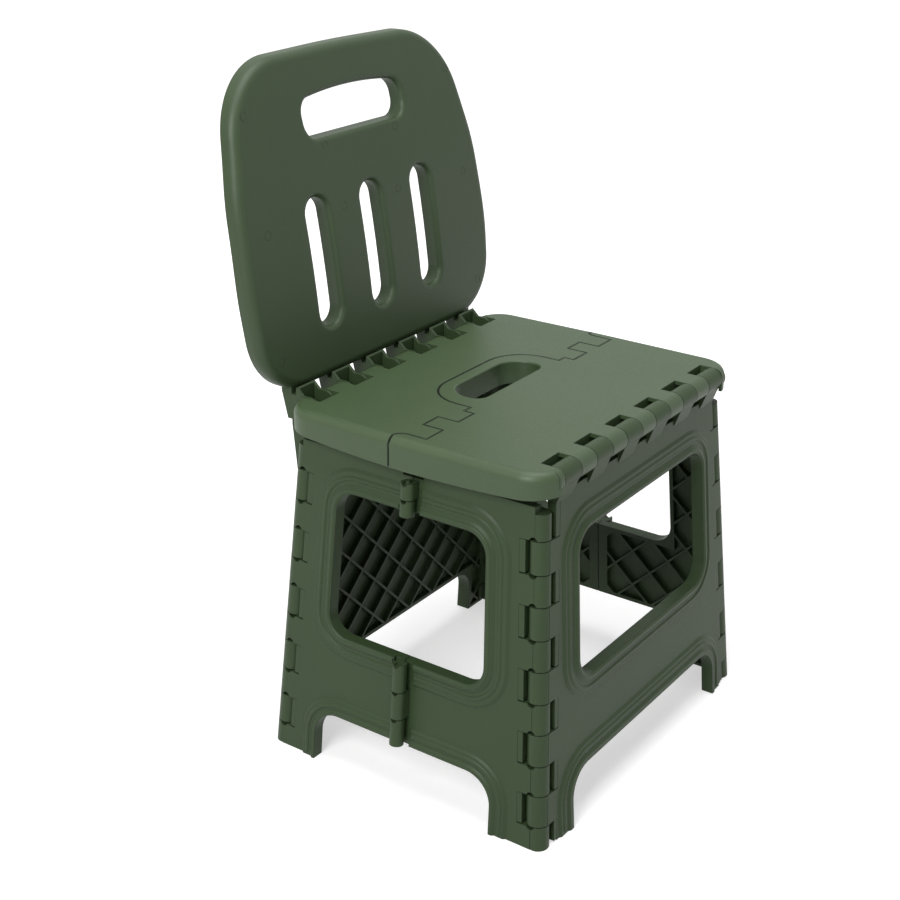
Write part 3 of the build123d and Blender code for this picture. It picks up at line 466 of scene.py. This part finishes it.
seam += [(finger_1 - SEAM_INSET_MM, edge_y), (finger_1 - SEAM_INSET_MM, room_y),
         (finger_2 + SEAM_INSET_MM, room_y), (finger_2 + SEAM_INSET_MM, finger_y),
         (finger_3 - SEAM_INSET_MM, finger_y), (finger_3 - SEAM_INSET_MM, room_y)]
seam += rounded(round_lobe, LOBE_RADIUS_MM, False)[:-1]
seam += [(rim_x + step, lobe_y) for step in RIM_STEPS_MM if rim_x + step > lobe_x + LOBE_RADIUS_MM]
whole_seam = [(-x, y) for x, y in reversed(seam[1:])] + seam
print("points along the seam:", len(whole_seam))

# %% [markdown]
# ## The hairline
# The top of the seam is dropped on the seat from above, and each end of it is laid on the skirt from its
# side, from the rounded rim down.

# %% Draw the seam
SEAM_RADIUS_MM, SEAM_SUNK_MM = 1.0, 0.8
SEAM_SHEEN = 0.1
# The hairline's material is a painted shade, near black.
seam_shade = moulded_polypropylene("painted_seam_shade", 0.0, SEAM_SHEEN, PAINTED_SHADE_DARK, PAINTED_SHADE_DARK)


def lay_seam_shade(name, out, points):
    """A dark hairline of painted shade on the front half of the seat, laid from the side that it faces."""
    edges = [(i, i + 1) for i in range(len(points) - 1)]
    grown(name, "seat_front", bead_tree, bead_sockets, seed_mesh(points, edges), {
        "Panel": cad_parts["seat_front"], "Outward": out, "Radius": SEAM_RADIUS_MM * MM,
        "Sunk": SEAM_SUNK_MM * MM, "Plastic": seam_shade})


above_seat = SEAT_TOP_MM + SEED_LIFT_MM
beside_seat = SEAT_HALF_MM + SEED_LIFT_MM
lay_seam_shade("seat_seam", (0.0, 0.0, 1.0), [(x, y, above_seat) for x, y in whole_seam])
skirt_levels = [SEAT_TOP_MM - RIM_MM + step for step in reversed(RIM_STEPS_MM[:-1])] + [SKIRT_FOOT_MM]
for side, sign in (("left", -1), ("right", 1)):
    lay_seam_shade("seat_seam_" + side, (sign, 0.0, 0.0), [(sign * beside_seat, lobe_y, z) for z in skirt_levels])

# %% [markdown]
# ## Narrower slots beside the corner barrels
# On the real stool the panels reach close to the hinge barrels and leave only a narrow dark slot beside
# each one. The CAD model leaves wider slots there, so each slot gets a lip: a small block flush with the
# panel's face, from the far edge of the slot to just short of the barrel. There are over forty, all alike
# but for their length. The seed has one point in each slot with the slot's length as an attribute, and
# the tree turns a block to the hinge line there. All hinge lines run to the apex, so a block's depth and
# width shrink with height as the panel does.

# %% The lip tree
lip_tree, given, lip_sockets = new_tree("slot_lips", "Slots", {
    "Apex": "NodeSocketVector", "Outward": "NodeSocketVector", "Depth": "NodeSocketFloat",
    "Width": "NodeSocketFloat"})
here = node(lip_tree, "GeometryNodeInputPosition").outputs["Position"]
upward = node(lip_tree, "ShaderNodeVectorMath", {"operation": "SUBTRACT"}, _0=given["Apex"], _1=here)
upright = node(lip_tree, "FunctionNodeAlignRotationToVector", {"axis": "Z"}, Vector=upward.outputs["Vector"])
facing_out = node(lip_tree, "FunctionNodeAlignRotationToVector", {"axis": "X", "pivot_axis": "Z"},
                  Rotation=upright.outputs["Rotation"], Vector=given["Outward"])
height = node(lip_tree, "ShaderNodeSeparateXYZ", Vector=here)
apex_height = node(lip_tree, "ShaderNodeSeparateXYZ", Vector=given["Apex"])
risen = node(lip_tree, "ShaderNodeMath", {"operation": "DIVIDE"}, _0=height.outputs["Z"],
             _1=apex_height.outputs["Z"])
shrink = node(lip_tree, "ShaderNodeMath", {"operation": "SUBTRACT"}, _0=1.0, _1=risen.outputs["Value"])
length = node(lip_tree, "GeometryNodeInputNamedAttribute", {"data_type": "FLOAT"}, Name="length")
stretch = node(lip_tree, "ShaderNodeCombineXYZ", X=shrink.outputs["Value"], Y=shrink.outputs["Value"],
               Z=length.outputs["Attribute"])
block_size = node(lip_tree, "ShaderNodeCombineXYZ", X=given["Depth"], Y=given["Width"], Z=1.0)
block = node(lip_tree, "GeometryNodeMeshCube", Size=block_size.outputs["Vector"])
lips = node(lip_tree, "GeometryNodeInstanceOnPoints", Points=given["Slots"], Instance=block.outputs["Mesh"],
            Rotation=facing_out.outputs["Rotation"], Scale=stretch.outputs["Vector"])
end_tree(lip_tree, lips.outputs["Instances"], given["Plastic"])
print("lip tree nodes:", len(lip_tree.nodes))

# %% [markdown]
# ## A lip in every slot
# The barrels of two panels take turns up a corner: where one panel has a barrel, the other has a slot.

# %% Lay the lips
HINGE_INSET_MM = 9.6
FINGER_MM, FIRST_FINGER_MM, FINGERS = 27.04, 20.55, 5
BARREL_SIDE_MM, SLOT_END_MM = 9.65, 16.6
LIP_DEPTH_MM, LIP_SUNK_MM = 8.6, 0.12
PANEL_FOOT_MM, PANEL_TOP_MM = 1.0, 291.0
pitch = 2 * FINGER_MM
starts = [FIRST_FINGER_MM + i * pitch for i in range(FINGERS)]
side_slots = [(start, start + FINGER_MM) for start in starts]
panel_slots = [(PANEL_FOOT_MM, FIRST_FINGER_MM)]
panel_slots += [(start + FINGER_MM, start + pitch) for start in starts[:-1]]
panel_slots.append((starts[-1] + FINGER_MM, PANEL_TOP_MM))
corner_x, corner_y = HALF_WIDTH_MM - HINGE_INSET_MM, HALF_DEPTH_MM - HINGE_INSET_MM
hinge_length = math.hypot(corner_x, corner_y, APEX_MM)
lip_middle = (BARREL_SIDE_MM + SLOT_END_MM) / 2
lip_in = HINGE_INSET_MM - LIP_SUNK_MM - LIP_DEPTH_MM / 2
apex = Vector((0.0, 0.0, APEX_MM))


def lay_lips(name, body, out, feet, slots):
    """Lips on one body: feet are the points on the floor where its rows of lips would start."""
    points, lengths = [], []
    for foot in feet:
        for low, high in slots:
            points.append(Vector(foot).lerp(apex, (low + high) / 2 / hinge_length))
            lengths.append((high - low) * MM)
    seed = seed_mesh(points)
    seed.attributes.new("length", "FLOAT", "POINT").data.foreach_set("value", lengths)
    grown(name, body, lip_tree, lip_sockets, seed, {
        "Apex": apex * MM, "Outward": out, "Depth": LIP_DEPTH_MM * MM,
        "Width": (SLOT_END_MM - BARREL_SIDE_MM) * MM, "Plastic": frame_plastic})


for side, sign, out in (("left", -1, OUT_LEFT), ("right", 1, OUT_RIGHT)):
    for end, turn in (("front", -1), ("rear", 1)):
        half = side + "_side_" + end
        foot = (sign * (corner_x + lip_in), turn * (corner_y - lip_middle), 0.0)
        lay_lips(half + "_lips", half, out, [foot], side_slots)
ends = (("front_panel", "front_panel", -1, OUT_FRONT), ("rear_panel", "rear_frame", 1, OUT_REAR))
for panel, body, turn, out in ends:
    feet = [(sign * (corner_x - lip_middle), turn * (corner_y + lip_in), 0.0) for sign in (-1, 1)]
    lay_lips(panel + "_lips", body, out, feet, panel_slots)

# %% [markdown]
# ## Floor and room
# The photograph has a plain white ground. The floor is a pale matte sheet that still takes the stool's
# shadow; a little light of its own, seen by the camera and in reflections, keeps it white without more
# light on the stool. The world is white to the camera and in reflections, and dimmer as a lamp, so that
# the plastic mirrors a white studio.

# %% The white floor
FLOOR_SIDE_M = 30.0
FLOOR_DROP_MM = 0.3
FLOOR_GREY = "d2d2d2"
GLOW_NEAR_M, GLOW_FAR_M = 0.35, 1.3
GLOW_NEAR, GLOW_FAR = 0.55, 0.90


def seen_or_mirrored(tree):
    """1 for what the camera sees, straight, in a reflection or through glass, and 0 for light on things."""
    path = node(tree, "ShaderNodeLightPath").outputs
    mirrored = node(tree, "ShaderNodeMath", {"operation": "MAXIMUM"}, _0=path["Is Glossy Ray"],
                    _1=path["Is Transmission Ray"])
    return node(tree, "ShaderNodeMath", {"operation": "MAXIMUM"}, _0=path["Is Camera Ray"],
                _1=mirrored.outputs["Value"]).outputs["Value"]


paper = bpy.data.materials.new("matte_paper")
tree = emptied(paper)
matte = node(tree, "ShaderNodeBsdfDiffuse", Color=linear(FLOOR_GREY))
spot = node(tree, "ShaderNodeTexCoord").outputs["Object"]
away = node(tree, "ShaderNodeVectorMath", {"operation": "LENGTH"}, _0=spot)
fade = ranged(tree, away.outputs["Value"], GLOW_NEAR_M, GLOW_FAR_M, GLOW_NEAR, GLOW_FAR,
              interpolation_type="SMOOTHSTEP")
lift = node(tree, "ShaderNodeMath", {"operation": "MULTIPLY"}, _0=seen_or_mirrored(tree), _1=fade)
glow = node(tree, "ShaderNodeEmission", Color=linear(WHITE), Strength=lift.outputs["Value"])
both = node(tree, "ShaderNodeAddShader", _0=matte.outputs["BSDF"], _1=glow.outputs["Emission"])
node(tree, "ShaderNodeOutputMaterial", Surface=both.outputs["Shader"])

reach = FLOOR_SIDE_M / 2
floor_mesh = bpy.data.meshes.new("floor")
floor_mesh.from_pydata([(-reach, -reach, 0), (reach, -reach, 0), (reach, reach, 0), (-reach, reach, 0)], [],
                       [(0, 1, 2, 3)])
floor_mesh.materials.append(paper)
floor = placed("floor", floor_mesh)
floor.location.z = -FLOOR_DROP_MM * MM

# %% The world
WORLD_LIGHT = 0.24
world = bpy.data.worlds.new("white_studio")
bpy.context.scene.world = world
tree = emptied(world)
level = ranged(tree, seen_or_mirrored(tree), 0.0, 1.0, WORLD_LIGHT, 1.0)
sky = node(tree, "ShaderNodeBackground", Color=linear(WHITE), Strength=level)
node(tree, "ShaderNodeOutputWorld", Surface=sky.outputs["Background"])
print("floor", FLOOR_SIDE_M, "m, world light", WORLD_LIGHT)

# %% [markdown]
# ## Three softboxes
# A large lamp gives soft shadows. The key stands high on the left of the camera, a weak fill lower on its
# right, and a third hangs over the stool. Their level is plain, so that the plastic keeps its own dark
# tone and only the sheen lifts it.

# %% Lamps
STOOL_MIDDLE_M = (0.0, 0.0, 0.28)


def softbox(name, place, side, watts):
    """A square area lamp that faces the middle of the stool; place and side are in metres."""
    data = bpy.data.lights.new(name, "AREA")
    data.size = side
    data.energy = watts
    lamp = placed(name, data)
    lamp.location = place
    lamp.rotation_euler = (Vector(STOOL_MIDDLE_M) - Vector(place)).to_track_quat("-Z", "Y").to_euler()


softbox("key", place=(-2.3, -0.2, 2.0), side=1.3, watts=62)
softbox("fill", place=(0.6, -2.6, 1.5), side=1.8, watts=2)
softbox("overhead", place=(0.0, 0.0, 2.8), side=1.8, watts=50)
print("lamps:", [lamp.name for lamp in bpy.data.lights])

# %% [markdown]
# ## The camera
# Place, angle and focal length were found from the straight edges of the panels in the photograph, which
# run to three vanishing points. The picture is square, 900 by 900 pixels, and the lens has no shift.

# %% The camera at the photograph's angle
FOCAL_PX, PICTURE_PX = 1564.66, 900
SENSOR_MM = 36.0
YAW, PITCH = 0.6187, -0.4097
CAMERA_M = (-1.0450, -0.6753, 0.7975)
camera_data = bpy.data.cameras.new("camera")
camera_data.sensor_width = SENSOR_MM
camera_data.lens = SENSOR_MM * FOCAL_PX / PICTURE_PX
camera = placed("camera", camera_data)
camera.location = CAMERA_M
forward = Vector((math.cos(YAW) * math.cos(PITCH), math.sin(YAW) * math.cos(PITCH), math.sin(PITCH)))
camera.rotation_euler = forward.to_track_quat("-Z", "Y").to_euler()
bpy.context.scene.camera = camera
bpy.context.scene.view_settings.view_transform = "Standard"
print("lens:", round(camera_data.lens, 1), "mm")
